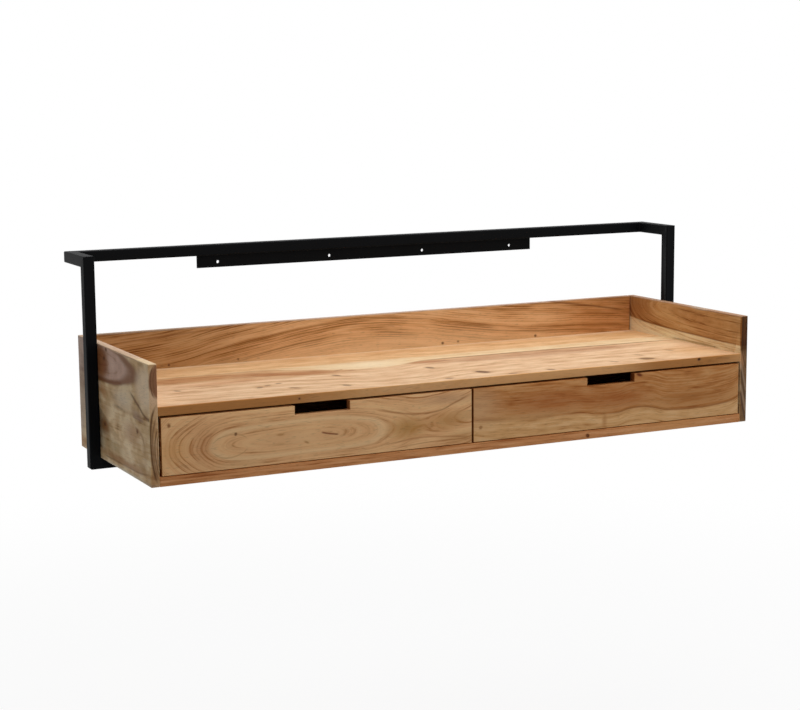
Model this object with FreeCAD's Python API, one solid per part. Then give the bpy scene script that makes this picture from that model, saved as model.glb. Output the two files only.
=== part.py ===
import FreeCAD, Part
import os

# Floating wall desk: an acacia box with two drawers, carried by a welded square-tube frame.
# Sizes are in mm. The wall is the plane Y = 0, the front looks along -Y and +Z is up.
# X = 0 is the middle of the box and Z = 0 the line of wall-screw holes in the hanger bar.
# Heights named below are measured up from the underside of the box, depths forward from the wall.

V = FreeCAD.Vector
ALONG_X = V(1, 0, 0)
TO_WALL = V(0, 1, 0)
TO_FRONT = V(0, -1, 0)
UP = V(0, 0, 1)
SIDES = {"left": -1, "right": 1}

# Box of solid boards
BOX_WIDTH = 1200.0
BOX_DEPTH = 390.0
SIDE_HEIGHT = 205.0
SIDE_THICKNESS = 15.0
BACK_THICKNESS = 12.0
DESKTOP_HEIGHT = 133.0
DESKTOP_THICKNESS = 15.0
BOTTOM_THICKNESS = 16.0
DIVIDER_THICKNESS = 15.0
DIVIDER_SETBACK = 2.0
EDGE_EASE = 1.5

# Tongues and housings that join the boards
TONGUE_THICKNESS = 6.0
TONGUE_LENGTH = 6.0
HOUSING_STOP = 20.0
FIT_CLEARANCE = 0.1

# Steel tube frame
TUBE = 20.0
TUBE_WALL = 1.5
TUBE_CORNER = 2.0
ARM_REACH = 118.0
RAIL_TOP = 358.0
WELD_LEG = 3.0

# Hanger bar under the top rail, with its wall-screw holes
HANGER_LENGTH = 714.0
HANGER_HEIGHT = 24.0
HANGER_THICKNESS = 4.0
HANGER_OFFSET = -12.0
WALL_HOLE = 6.0
WALL_HOLE_EDGE = 10.0
LEFT_HOLE_END = 41.0
RIGHT_HOLE_END = 48.0
INNER_HOLE_SPACING = 200.0

# Screws between the frame and the box
SCREW_HEAD = 8.0
SCREW_HEAD_TOP = 6.0
SCREW_HEAD_HEIGHT = 2.5
SCREW_SHANK = 4.0
SCREW_BITE = 11.0
LEG_SCREW_BITE = 5.0
BOTTOM_SCREW_COUNT = 4
BOTTOM_SCREW_PITCH = 280.0
LEG_SCREW_RISE = 35.0

# Drawers
FRONT_THICKNESS = 15.0
FRONT_SIDE_GAP = 4.5
FRONT_MIDDLE_GAP = 4.0
FRONT_TOP_GAP = 4.0
FRONT_BOTTOM_GAP = 1.5
NOTCH_WIDTH = 103.0
NOTCH_DEPTH = 16.0
DRAWER_BOARD = 14.0
DRAWER_REAR_GAP = 33.0
DRAWER_HEIGHT = 70.0
DRAWER_LIFT = 6.0
PANEL_THICKNESS = 5.0
PANEL_LIFT = 8.0
PANEL_GROOVE = 5.0
PANEL_PLAY = 0.2

# Dovetails at the drawer corners
TAIL_COUNT = 3
TAIL_WIDTH = 16.0
TAIL_SLOPE = 0.2
FRONT_TAIL_LENGTH = 10.0

# Wooden runners on which the drawers hang
RUNNER_HEIGHT = 10.0
RUNNER_REAR_GAP = 18.0
RUNNER_HOUSING = 3.0
RUNNER_SETBACK = 25.0
RUNNER_IN_GROOVE = 6.5
RUNNER_PLAY = 0.3

# Places that follow from the sizes above
SUNK_HEAD_DEPTH = (SCREW_HEAD - SCREW_SHANK) / 2
HALF_WIDTH = BOX_WIDTH / 2
INNER_HALF = HALF_WIDTH - SIDE_THICKNESS
HALF_DIVIDER = DIVIDER_THICKNESS / 2
DESKTOP_UNDER = DESKTOP_HEIGHT - DESKTOP_THICKNESS
RAIL_UNDER = RAIL_TOP - TUBE
HANGER_UNDER = RAIL_UNDER - HANGER_HEIGHT
HOLE_HEIGHT = HANGER_UNDER + WALL_HOLE_EDGE
LEG_BACK = ARM_REACH - TUBE
LEG_MIDDLE = ARM_REACH - TUBE / 2
FRONT_INSIDE = BOX_DEPTH - FRONT_THICKNESS
FRONT_LOW = BOTTOM_THICKNESS + FRONT_BOTTOM_GAP
FRONT_HIGH = DESKTOP_UNDER - FRONT_TOP_GAP
DRAWER_LOW = FRONT_LOW + DRAWER_LIFT
DRAWER_HIGH = DRAWER_LOW + DRAWER_HEIGHT
DRAWER_BACK = BACK_THICKNESS + DRAWER_REAR_GAP
RUNNER_MIDDLE = DRAWER_LOW + DRAWER_HEIGHT / 2
RUNNER_FRONT = FRONT_INSIDE - RUNNER_SETBACK
RUNNER_BACK = BACK_THICKNESS + RUNNER_REAR_GAP

# Each bay lies between a side panel and the divider: its faces, then the ends of its drawer front
BAYS = {
    "left_drawer": (-INNER_HALF, -HALF_DIVIDER, FRONT_SIDE_GAP - INNER_HALF, -FRONT_MIDDLE_GAP / 2),
    "right_drawer": (HALF_DIVIDER, INNER_HALF, FRONT_MIDDLE_GAP / 2, INNER_HALF - FRONT_SIDE_GAP),
}


def at(x, depth, height):
    """Point at a place across the box, a depth from the wall and a height above the box's underside."""
    return V(x, -depth, height - HOLE_HEIGHT)


def board(x0, x1, depth0, depth1, height0, height1, grow=0.0):
    """Plain board between two places across, two depths and two heights, grown all round if asked."""
    low = at(min(x0, x1) - grow, depth1 + grow, height0 - grow)
    high = at(max(x0, x1) + grow, depth0 - grow, height1 + grow)
    return Part.makeBox(high.x - low.x, high.y - low.y, high.z - low.z, low)


def ease(solid, picks):
    """Take the sharp arris off the edges whose middle point passes the test."""
    edges = [edge for edge in solid.Edges if picks(edge.CenterOfMass)]
    return solid.makeChamfer(EDGE_EASE, edges)


def cut_all(solid, tools):
    """Cut every tool that reaches into the solid."""
    for tool in tools:
        if tool.BoundBox.intersect(solid.BoundBox):
            solid = solid.cut(tool)
    return solid


def join_all(solid, pieces):
    """Join pieces of the same board to it and merge the flat faces that meet."""
    return solid.multiFuse(pieces).removeSplitter()


def save(node, *solids):
    """Write one node, as a single solid or as a group of separate solids."""
    shape = solids[0] if len(solids) == 1 else Part.makeCompound(list(solids))
    shape.exportStep(f"parts/{node}.step")


# Screws between the frame and the box

def shank(base, axis, length, grow=0.0):
    """Shank of a screw, grown all round if asked."""
    return Part.makeCylinder(SCREW_SHANK / 2 + grow, length + grow, base, axis)


def sunk_head(base, axis, grow=0.0):
    """Right-angled cone of a flat head, its flat face on the base point."""
    radius = SCREW_SHANK / 2 + grow
    return Part.makeCone(radius + SUNK_HEAD_DEPTH, radius, SUNK_HEAD_DEPTH, base, axis)


def pan_screw(base, axis, length):
    """Pan-head screw, its head bearing on the base point."""
    head = Part.makeCone(SCREW_HEAD / 2, SCREW_HEAD_TOP / 2, SCREW_HEAD_HEIGHT, base, -axis)
    return join_all(head, [shank(base, axis, length)])


def flat_screw(base, axis, length):
    """Flat-head screw, flush with the face that holds the base point."""
    return join_all(sunk_head(base, axis), [shank(base, axis, length)])


def pan_hole(base, axis, length):
    """Hole for a pan-head screw."""
    return shank(base, axis, length, FIT_CLEARANCE)


def flat_hole(base, axis, length):
    """Countersunk hole for a flat-head screw."""
    return join_all(sunk_head(base, axis, FIT_CLEARANCE), [shank(base, axis, length, FIT_CLEARANCE)])


def bottom_screw_places():
    """Base point, direction and length of each screw up through the bottom rail into the bottom board."""
    steps = [place - (BOTTOM_SCREW_COUNT - 1) / 2 for place in range(BOTTOM_SCREW_COUNT)]
    return [(at(step * BOTTOM_SCREW_PITCH, LEG_MIDDLE, -TUBE), UP, TUBE + SCREW_BITE) for step in steps]


def leg_screw_places():
    """Base point, direction and length of each screw out through a side panel into a leg."""
    places = []
    for side in SIDES.values():
        for rise in (-LEG_SCREW_RISE, LEG_SCREW_RISE):
            base = at(side * INNER_HALF, LEG_MIDDLE, RUNNER_MIDDLE + rise)
            places.append((base, ALONG_X * side, SIDE_THICKNESS + LEG_SCREW_BITE))
    return places


# Frame of square tube

def rounded_square(size, radius):
    """Face of a square with rounded corners, centred on the origin."""
    half = size / 2
    blank = Part.makeBox(size, size, 1, V(-half, -half, 0))
    uprights = [edge for edge in blank.Edges if abs(edge.CenterOfMass.z - 0.5) < 0.1]
    blank = blank.makeFillet(radius, uprights)
    return min(blank.Faces, key=lambda face: face.CenterOfMass.z)


def mitred_tube(start, end, start_turn, end_turn):
    """Hollow tube between two corner centres, mitred to the tubes that leave along the two turns."""
    half = TUBE / 2
    run = (end - start).normalize()
    length = (end - start).Length + TUBE
    place = FreeCAD.Placement(start - run * half, FreeCAD.Rotation(UP, run))
    outside = rounded_square(TUBE, TUBE_CORNER).extrude(UP * length)
    inside = rounded_square(TUBE - 2 * TUBE_WALL, TUBE_CORNER - TUBE_WALL / 2).extrude(UP * length)
    tube = outside.cut(inside)
    tube.Placement = place
    reach = half + 1
    for corner, inward, leave in ((start, run, start_turn), (end, -run, end_turn)):
        across = inward.cross(leave)
        triangle = [
            corner - (inward + leave) * reach,
            corner + (inward + leave) * reach,
            corner + (leave - inward) * reach,
        ]
        face = Part.Face(Part.makePolygon([point - across * reach for point in triangle + triangle[:1]]))
        tube = tube.cut(face.extrude(across * (2 * reach)))
    return tube


def weld_bead(corner, first, second):
    """Hollow-faced weld bead in an inside corner, along the flat of the tube."""
    length = TUBE - 2 * TUBE_CORNER
    along = first.cross(second)
    base = corner - along * (length / 2)
    one = base + first * WELD_LEG
    two = base + second * WELD_LEG
    centre = base + (first + second) * WELD_LEG
    middle = centre - (first + second).normalize() * WELD_LEG
    edges = [
        Part.makeLine(base, one),
        Part.Arc(one, middle, two).toShape(),
        Part.makeLine(two, base),
    ]
    return Part.Face(Part.Wire(edges)).extrude(along * length)


def hanger_bar():
    """Flat bar welded under the top rail, flush with the wall, with two pairs of screw holes."""
    left = HANGER_OFFSET - HANGER_LENGTH / 2
    right = left + HANGER_LENGTH
    inner = INNER_HOLE_SPACING / 2
    bar = board(left, right, 0, HANGER_THICKNESS, HANGER_UNDER, RAIL_UNDER)
    for x in (left + LEFT_HOLE_END, -inner, inner, right - RIGHT_HOLE_END):
        bar = bar.cut(Part.makeCylinder(WALL_HOLE / 2, HANGER_THICKNESS, at(x, 0, HOLE_HEIGHT), TO_FRONT))
    return bar


def build_frame():
    """Top rail, arms, legs, bottom rail, weld beads, hanger bar and the screws into the box."""
    leg_x = HALF_WIDTH + TUBE / 2
    high = RAIL_TOP - TUBE / 2
    wall_corner = {side: at(side * leg_x, TUBE / 2, high) for side in SIDES.values()}
    front_corner = {side: at(side * leg_x, LEG_MIDDLE, high) for side in SIDES.values()}
    low_corner = {side: at(side * leg_x, LEG_MIDDLE, -TUBE / 2) for side in SIDES.values()}
    rail_screws = bottom_screw_places()
    side_screws = leg_screw_places()

    save("top_rail", mitred_tube(wall_corner[-1], wall_corner[1], TO_FRONT, TO_FRONT))
    rail = mitred_tube(low_corner[-1], low_corner[1], UP, UP)
    save("bottom_rail", cut_all(rail, [pan_hole(*place) for place in rail_screws]))
    beads = []
    for word, side in SIDES.items():
        inward = ALONG_X * -side
        save(f"{word}_arm", mitred_tube(wall_corner[side], front_corner[side], inward, -UP))
        leg = mitred_tube(front_corner[side], low_corner[side], TO_WALL, inward)
        save(f"{word}_leg", cut_all(leg, [flat_hole(*place) for place in side_screws]))
        beads.append(weld_bead(at(side * HALF_WIDTH, TUBE, high), inward, TO_FRONT))
        beads.append(weld_bead(at(side * leg_x, LEG_BACK, RAIL_UNDER), TO_WALL, -UP))
    save("corner_welds", *beads)
    save("hanger_bar", hanger_bar())
    save("bottom_rail_screws", *[pan_screw(*place) for place in rail_screws])
    save("leg_screws", *[flat_screw(*place) for place in side_screws])


# Box

def shelf_tongues(low, high, grow=0.0):
    """Tongues of the desktop or bottom board: one into each side panel and one into the back panel."""
    middle = (low + high) / 2
    heights = (middle - TONGUE_THICKNESS / 2, middle + TONGUE_THICKNESS / 2)
    front = BOX_DEPTH - HOUSING_STOP
    tongues = []
    for side in SIDES.values():
        tip = side * (INNER_HALF + TONGUE_LENGTH)
        tongues.append(board(side * INNER_HALF, tip, BACK_THICKNESS, front, *heights, grow))
    reach = INNER_HALF - HOUSING_STOP
    back = BACK_THICKNESS - TONGUE_LENGTH
    tongues.append(board(-reach, reach, back, BACK_THICKNESS, *heights, grow))
    return tongues


def back_tongues(grow=0.0):
    """Tongues of the back panel into the side panels, stopped below the top edge."""
    middle = BACK_THICKNESS / 2
    depths = (middle - TONGUE_THICKNESS / 2, middle + TONGUE_THICKNESS / 2)
    heights = (HOUSING_STOP, SIDE_HEIGHT - HOUSING_STOP)
    tongues = []
    for side in SIDES.values():
        tip = side * (INNER_HALF + TONGUE_LENGTH)
        tongues.append(board(side * INNER_HALF, tip, *depths, *heights, grow))
    return tongues


def divider_board(grow=0.0):
    """Divider, let into the desktop above it and the bottom board under it."""
    front = FRONT_INSIDE - DIVIDER_SETBACK
    low = BOTTOM_THICKNESS - TONGUE_LENGTH
    high = DESKTOP_UNDER + TONGUE_LENGTH
    return board(-HALF_DIVIDER, HALF_DIVIDER, BACK_THICKNESS, front, low, high, grow)


def build_box():
    """Side panels, back panel, desktop, bottom board and divider."""
    desktop_heights = (DESKTOP_UNDER, DESKTOP_HEIGHT)
    bottom_heights = (0, BOTTOM_THICKNESS)
    shelf_housings = shelf_tongues(*desktop_heights, FIT_CLEARANCE)
    shelf_housings += shelf_tongues(*bottom_heights, FIT_CLEARANCE)
    divider_housing = divider_board(FIT_CLEARANCE)
    runner_housings = [runner(face, inward, FIT_CLEARANCE) for face, inward in runner_places().values()]
    leg_holes = [flat_hole(*place) for place in leg_screw_places()]
    bottom_holes = [pan_hole(*place) for place in bottom_screw_places()]
    top = at(0, 0, SIDE_HEIGHT).z

    side_cuts = shelf_housings + back_tongues(FIT_CLEARANCE) + runner_housings + leg_holes
    for word, side in SIDES.items():
        panel = board(side * INNER_HALF, side * HALF_WIDTH, 0, BOX_DEPTH, 0, SIDE_HEIGHT)
        save(f"{word}_side_panel", cut_all(ease(panel, lambda point: True), side_cuts))

    back = board(-INNER_HALF, INNER_HALF, 0, BACK_THICKNESS, 0, SIDE_HEIGHT)
    back = ease(back, lambda point: abs(point.z - top) < 1 and abs(point.x) < 1)
    save("back_panel", cut_all(join_all(back, back_tongues()), shelf_housings))

    for node, heights, cuts in (
        ("desktop", desktop_heights, [divider_housing]),
        ("bottom_board", bottom_heights, [divider_housing] + bottom_holes),
    ):
        shelf = board(-INNER_HALF, INNER_HALF, BACK_THICKNESS, BOX_DEPTH, *heights)
        shelf = ease(shelf, lambda point: abs(point.y + BOX_DEPTH) < 1 and abs(point.x) < 1)
        save(node, cut_all(join_all(shelf, shelf_tongues(*heights)), cuts))

    save("centre_divider", cut_all(divider_board(), runner_housings))


# Runners

def runner_places():
    """Face that carries each runner and the way in which its drawer lies, by the runner's name."""
    places = {}
    for drawer, (bay_left, bay_right, _, _) in BAYS.items():
        places[f"{drawer}_left_runner"] = (bay_left, 1)
        places[f"{drawer}_right_runner"] = (bay_right, -1)
    return places


def rounded_strip(x0, x1, grow=0.0):
    """Strip along the runners' line with a half-round front end, grown all round if asked."""
    radius = RUNNER_HEIGHT / 2 + grow
    nose = RUNNER_FRONT - RUNNER_HEIGHT / 2
    left = min(x0, x1) - grow
    right = max(x0, x1) + grow
    flat = board(left, right, RUNNER_BACK - grow, nose, RUNNER_MIDDLE - radius, RUNNER_MIDDLE + radius)
    tip = Part.makeCylinder(radius, right - left, at(left, nose, RUNNER_MIDDLE), ALONG_X)
    return join_all(flat, [tip])


def runner(face, inward, grow=0.0):
    """Hardwood strip let into a side panel or the divider and standing into the drawer's groove."""
    seat = face - inward * RUNNER_HOUSING
    tip = face + inward * (FRONT_SIDE_GAP + RUNNER_IN_GROOVE)
    return rounded_strip(seat, tip, grow)


def runner_groove(face, inward):
    """Groove in a drawer side, open to the back, with play all round the runner."""
    tip = face + inward * (FRONT_SIDE_GAP + RUNNER_IN_GROOVE)
    return rounded_strip(face, tip, RUNNER_PLAY)


# Drawers

def drawer_front(left, right):
    """Front board with the hand notch in its upper edge and its front arris eased."""
    middle = (left + right) / 2
    half = NOTCH_WIDTH / 2
    notch = FRONT_HIGH - NOTCH_DEPTH
    outline = [
        (left, FRONT_LOW),
        (right, FRONT_LOW),
        (right, FRONT_HIGH),
        (middle + half, FRONT_HIGH),
        (middle + half, notch),
        (middle - half, notch),
        (middle - half, FRONT_HIGH),
        (left, FRONT_HIGH),
        (left, FRONT_LOW),
    ]
    face = Part.Face(Part.makePolygon([at(x, BOX_DEPTH, height) for x, height in outline]))
    solid = face.extrude(TO_WALL * FRONT_THICKNESS)
    return ease(solid, lambda point: abs(point.y + BOX_DEPTH) < 0.1)


def dovetails(x0, x1, root, end, grow=0.0):
    """Row of tails on a drawer side, widening from the root depth to the end depth."""
    pitch = DRAWER_HEIGHT / TAIL_COUNT
    wide = TAIL_WIDTH / 2 + grow
    narrow = wide - TAIL_SLOPE * abs(end - root)
    past_end = end + (grow if end > root else -grow)
    tails = []
    for step in range(TAIL_COUNT):
        middle = DRAWER_LOW + (step + 0.5) * pitch
        outline = [
            at(x0 - grow, root, middle - narrow),
            at(x0 - grow, past_end, middle - wide),
            at(x0 - grow, past_end, middle + wide),
            at(x0 - grow, root, middle + narrow),
        ]
        face = Part.Face(Part.makePolygon(outline + outline[:1]))
        tails.append(face.extrude(ALONG_X * (x1 - x0 + 2 * grow)))
    return tails


def build_drawer(name, bay_left, bay_right, front_left, front_right):
    """One drawer: front, dovetailed sides and back, and a bottom panel in grooves."""
    left = bay_left + FRONT_SIDE_GAP
    right = bay_right - FRONT_SIDE_GAP
    in_left = left + DRAWER_BOARD
    in_right = right - DRAWER_BOARD
    in_back = DRAWER_BACK + DRAWER_BOARD
    panel_low = DRAWER_LOW + PANEL_LIFT
    panel_high = panel_low + PANEL_THICKNESS
    panel_ends = (in_left - PANEL_GROOVE, in_right + PANEL_GROOVE)
    panel_depths = (in_back - PANEL_GROOVE, FRONT_INSIDE + PANEL_GROOVE)
    panel = board(*panel_ends, *panel_depths, panel_low, panel_high)
    groove = board(*panel_ends, *panel_depths, panel_low, panel_high, PANEL_PLAY)
    runner_grooves = [runner_groove(bay_left, 1), runner_groove(bay_right, -1)]
    front_tip = FRONT_INSIDE + FRONT_TAIL_LENGTH
    top = at(0, 0, DRAWER_HIGH).z
    sockets = []

    for word, x in (("left", left), ("right", in_right)):
        outer = x + DRAWER_BOARD
        side = board(x, outer, in_back, FRONT_INSIDE, DRAWER_LOW, DRAWER_HIGH)
        tails = dovetails(x, outer, FRONT_INSIDE, front_tip) + dovetails(x, outer, in_back, DRAWER_BACK)
        side = cut_all(join_all(side, tails), [groove] + runner_grooves)
        save(f"{name}_{word}_side", side)
        sockets += dovetails(x, outer, FRONT_INSIDE, front_tip, FIT_CLEARANCE)
        sockets += dovetails(x, outer, in_back, DRAWER_BACK, FIT_CLEARANCE)

    save(f"{name}_front", cut_all(drawer_front(front_left, front_right), sockets + [groove]))
    back = board(left, right, DRAWER_BACK, in_back, DRAWER_LOW, DRAWER_HIGH)
    back = ease(back, lambda point: abs(point.z - top) < 1 and abs(point.x - (left + right) / 2) < 1)
    save(f"{name}_back", cut_all(back, sockets + [groove]))
    save(f"{name}_bottom", panel)


os.makedirs("parts", exist_ok=True)
build_frame()
build_box()
for runner_name, runner_place in runner_places().items():
    save(runner_name, runner(*runner_place))
for drawer_name, bay in BAYS.items():
    build_drawer(drawer_name, *bay)
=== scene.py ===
import logging
import math
from collections.abc import Callable
from dataclasses import KW_ONLY, dataclass, field, replace
from enum import Enum

import bpy
from mathutils import Euler, Matrix, Vector


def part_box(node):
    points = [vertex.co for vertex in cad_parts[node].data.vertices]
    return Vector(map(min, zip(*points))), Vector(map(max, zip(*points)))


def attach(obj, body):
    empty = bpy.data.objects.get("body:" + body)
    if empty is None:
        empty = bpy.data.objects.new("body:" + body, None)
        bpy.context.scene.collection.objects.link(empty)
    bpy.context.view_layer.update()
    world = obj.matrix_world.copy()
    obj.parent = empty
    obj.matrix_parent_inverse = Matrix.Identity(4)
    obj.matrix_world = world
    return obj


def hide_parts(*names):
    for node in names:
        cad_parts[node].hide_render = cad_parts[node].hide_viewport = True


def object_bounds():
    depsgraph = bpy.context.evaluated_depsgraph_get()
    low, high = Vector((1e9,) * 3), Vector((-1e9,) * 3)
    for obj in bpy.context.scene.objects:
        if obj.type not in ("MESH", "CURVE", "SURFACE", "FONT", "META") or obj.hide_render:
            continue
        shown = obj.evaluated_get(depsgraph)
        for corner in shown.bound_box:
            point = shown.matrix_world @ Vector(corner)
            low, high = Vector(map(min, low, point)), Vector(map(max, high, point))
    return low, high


# Floating wall desk: an acacia tray with two drawers, carried by a square-tube frame.
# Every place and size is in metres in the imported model's frame, unless its name or comment says millimetres.

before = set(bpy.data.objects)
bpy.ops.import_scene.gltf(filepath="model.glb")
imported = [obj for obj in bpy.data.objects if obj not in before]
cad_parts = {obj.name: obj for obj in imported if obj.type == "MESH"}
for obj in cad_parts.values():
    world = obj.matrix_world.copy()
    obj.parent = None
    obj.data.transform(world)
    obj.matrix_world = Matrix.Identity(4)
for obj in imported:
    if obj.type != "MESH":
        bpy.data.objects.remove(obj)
CAD_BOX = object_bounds()
LOG = logging.getLogger("wall_desk")
MM = 0.001
WHITE = (1, 1, 1, 1)

# Points nearer than the merges are one, in a copied node and after a cut. Faces that meet at less than the
# smooth angle shade as one, edges past the arris angle are rounded, and level faces point so far up or down.
MODEL_MERGE = 0.001 * MM
CUT_MERGE = 0.005 * MM
SMOOTH_ANGLE = math.radians(35)
ARRIS_ANGLE = math.radians(40)
LEVEL = 0.9

Node = bpy.types.Node
Material = bpy.types.Material
Piece = bpy.types.Object
Input = Node | bpy.types.NodeSocket | float | tuple
Line = tuple[tuple[float, float], ...]
Place = tuple[float, float, float]


def linear(colour: str) -> tuple[float, float, float, float]:
    """Turn an sRGB hex colour into the linear colour that shaders use.

    Args:
        colour: Six hex digits after a hash sign.

    Returns:
        Red, green, blue and a full alpha.
    """
    parts = [int(colour[start:start + 2], 16) / 255 for start in (1, 3, 5)]
    return (*[p / 12.92 if p <= 0.04045 else ((p + 0.055) / 1.055) ** 2.4 for p in parts], 1.0)


class Sheet:
    """Node tree of one finish, or of the room, while it is being written."""

    # The setting of each type of node that this file chooses
    CHOICES = {
        "Math": "operation", "VectorMath": "operation", "MixRGB": "blend_type", "Mapping": "vector_type",
        "MapRange": "interpolation_type", "TexGradient": "gradient_type", "TexNoise": "noise_dimensions",
    }

    def __init__(self, owner: Material | bpy.types.World) -> None:
        """Start an empty tree.

        Args:
            owner: New material or world.
        """
        self.owner = owner
        owner.use_nodes = True
        self.tree = owner.node_tree
        self.tree.nodes.clear()

    def add(self, kind: str, inputs: dict[str | int, Input] | None = None, choice: str = "") -> Node:
        """Add one node with its setting and links.

        Args:
            kind: Type of node, without the first part that all shader nodes share.
            inputs: What feeds each input, by name or number: a node, one of its sockets or a value.
            choice: The one setting that such a node has here, as its operation or its way of mixing.

        Returns:
            The new node.
        """
        made = self.tree.nodes.new("ShaderNode" + kind)
        if choice:
            setattr(made, self.CHOICES[kind], choice)
        for key, value in (inputs or {}).items():
            if isinstance(value, Node):
                value = value.outputs[0]
            if isinstance(value, bpy.types.NodeSocket):
                self.tree.links.new(value, made.inputs[key])
            else:
                made.inputs[key].default_value = value
        return made

    def lay(self, colour: Input, tint: Input, over: Input, start: float, end: float, strength: float = 1.0,
            mixing: str = "MIX") -> Node:
        """Lay a tint on a colour where a measure goes from one limit to another.

        Args:
            colour: Colour so far.
            tint: Colour that is laid on it.
            over: Measure that tells where.
            start: Where the tint starts.
            end: Where it is full.
            strength: Share of the tint where it is full.
            mixing: How the two mix.

        Returns:
            Node that gives the colour.
        """
        cover = self.add("MapRange", {0: over, 1: start, 2: end, 4: strength}, "SMOOTHSTEP")
        return self.add("MixRGB", {0: cover, 1: colour, 2: tint}, mixing)

    def close(self, shader: Node) -> Material | bpy.types.World:
        """Join the shader to the output and hand over the material or world."""
        self.add("Output" + type(self.owner).__name__, {"Surface": shader})
        return self.owner


# Acacia

class Lay(Enum):
    """How a board lies: rows that turn the frame's axes into along, across and through the board."""

    FLAT = ((1, 0, 0), (0, -1, 0), (0, 0, -1))
    UPRIGHT = ((1, 0, 0), (0, 0, -1), (0, 1, 0))
    END_ON = ((0, -1, 0), (0, 0, -1), (1, 0, 0))


@dataclass(frozen=True)
class Tones:
    """Three tones of one wood, from early growth to late growth."""

    pale: str
    middle: str
    dark: str

    def paint(self, sheet: Sheet, tone: Input) -> Node:
        """Colour the wood by its tone.

        Args:
            sheet: Tree that the nodes go into.
            tone: Value from 0, early growth, to 1, late growth.

        Returns:
            Node that gives the colour.
        """
        light = sheet.lay(linear(self.pale), linear(self.middle), tone, 0.15, 0.55)
        return sheet.lay(light, linear(self.dark), tone, 0.5, 1.0)


@dataclass(frozen=True)
class Spot:
    """Oval place on a board, by its centre, half lengths and turn, in millimetres and degrees."""

    along: float
    across: float
    length: float
    width: float
    _: KW_ONLY
    turn: float = 0.0
    through: float = 0.0
    depth: float = 60.0

    def cover(self, sheet: Sheet, board: Input, rise: str = "SPHERICAL") -> Node:
        """Measure how far inside the oval a point lies.

        Args:
            sheet: Tree that the nodes go into.
            board: Place on the board in millimetres.
            rise: Shape of the rise from the rim to the centre.

        Returns:
            Node that gives 0 at the rim and beyond, and 1 at the centre.
        """
        local = sheet.add("Mapping", {
            "Vector": board,
            "Location": (self.along, self.across, self.through),
            "Rotation": (0, 0, math.radians(self.turn)),
            "Scale": (self.length, self.width, self.depth),
        }, "TEXTURE")
        return sheet.add("TexGradient", {0: local}, rise)


@dataclass(frozen=True)
class Stain(Spot):
    """Patch of another colour with a soft edge, which covers the wood or only tints it. Most are stains in the
    wood; a few are painted light and painted sheen on edges and top faces.
    """

    colour: str
    strength: float
    soft: float = 1.0
    tint: bool = False


@dataclass(frozen=True)
class Knot(Spot):
    """Small branch cut across: a dark heart in a browner halo."""

    strength: float = 0.85
    heart: str = "#6A4A30"
    halo: str = "#B98E66"


@dataclass(frozen=True)
class Streak:
    """Line that follows given points: along and across the board, or across and through its front end."""

    line: Line
    width: float
    colour: str
    strength: float
    end: bool = False


@dataclass(frozen=True)
class Band:
    """Wood of other tones on one side of a line, such as sapwood."""

    line: Line
    tones: Tones
    soft: float = 3.0
    above: bool = False


@dataclass(frozen=True)
class Core:
    """Wood inside one growth ring, by the ring's growth in millimetres, with a line of its own along it."""

    reach: float
    tones: Tones
    rim: str
    soft: float = 1.0


def follow(sheet: Sheet, line: Line, along: Input) -> Node:
    """Give the height of a line of given points at a place along the board.

    Args:
        sheet: Tree that the nodes go into.
        line: Points in millimetres along and across the board.
        along: Place along the board in millimetres.

    Returns:
        Node that gives the place across the board in millimetres.
    """
    start, end = line[0][0], line[-1][0]
    low = min(across for _, across in line)
    high = max(max(across for _, across in line), low + 1)
    share = sheet.add("MapRange", {0: along, 1: start, 2: end})
    curve = sheet.add("FloatCurve", {"Value": share})
    points = curve.mapping.curves[0].points
    while len(points) < len(line):
        points.new(0.5, 0.5)
    for point, (place, across) in zip(points, line):
        point.location = ((place - start) / (end - start), (across - low) / (high - low))
    curve.mapping.update()
    return sheet.add("MapRange", {0: curve, 3: low, 4: high})


@dataclass(frozen=True)
class AcaciaBoard:
    """Solid acacia, planed, sanded and oiled: satin boards with strong colour changes from heart to sapwood.

    The eye sees broad tawny bands that follow the rings, thin darker late growth, fine fibres, short open
    pores, small dark knots, and edges that a little rubbing has made paler, partly a painted highlight.
    Sizes are in millimetres.
    """

    name: str
    lay: Lay
    tones: Tones
    ring: float = 6.0
    wave: float = 7.0
    slope: float = 0.6
    contrast: float = 1.0
    seed: float = 0.0
    flow: Line = ()
    pith: Line = ()
    core: Core | None = None
    bands: tuple[Band, ...] = ()
    stains: tuple[Stain, ...] = ()
    streaks: tuple[Streak, ...] = ()
    knots: tuple[Knot, ...] = ()
    end_tone: str = "#B49A84"
    sharp: float = 2.0
    late: float = 0.55
    broad: float = 0.85
    fibre: tuple[float, float] = (70.0, 2.6)
    pore: tuple[float, float] = (12.0, 1.1)
    cloud: tuple[float, float] = (120.0, 14.0)
    mottle: float = 1.0
    grain: float = 1.5
    even: float = 0.0
    joint: float = 0.0

    def material(self, low: Vector, high: Vector) -> Material:
        """Write the material of a board between two corners.

        Args:
            low: Lowest corner of the board.
            high: Highest corner of the board.

        Returns:
            The finished material.
        """
        return BoardSheet(self, low, high).finish()


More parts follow.
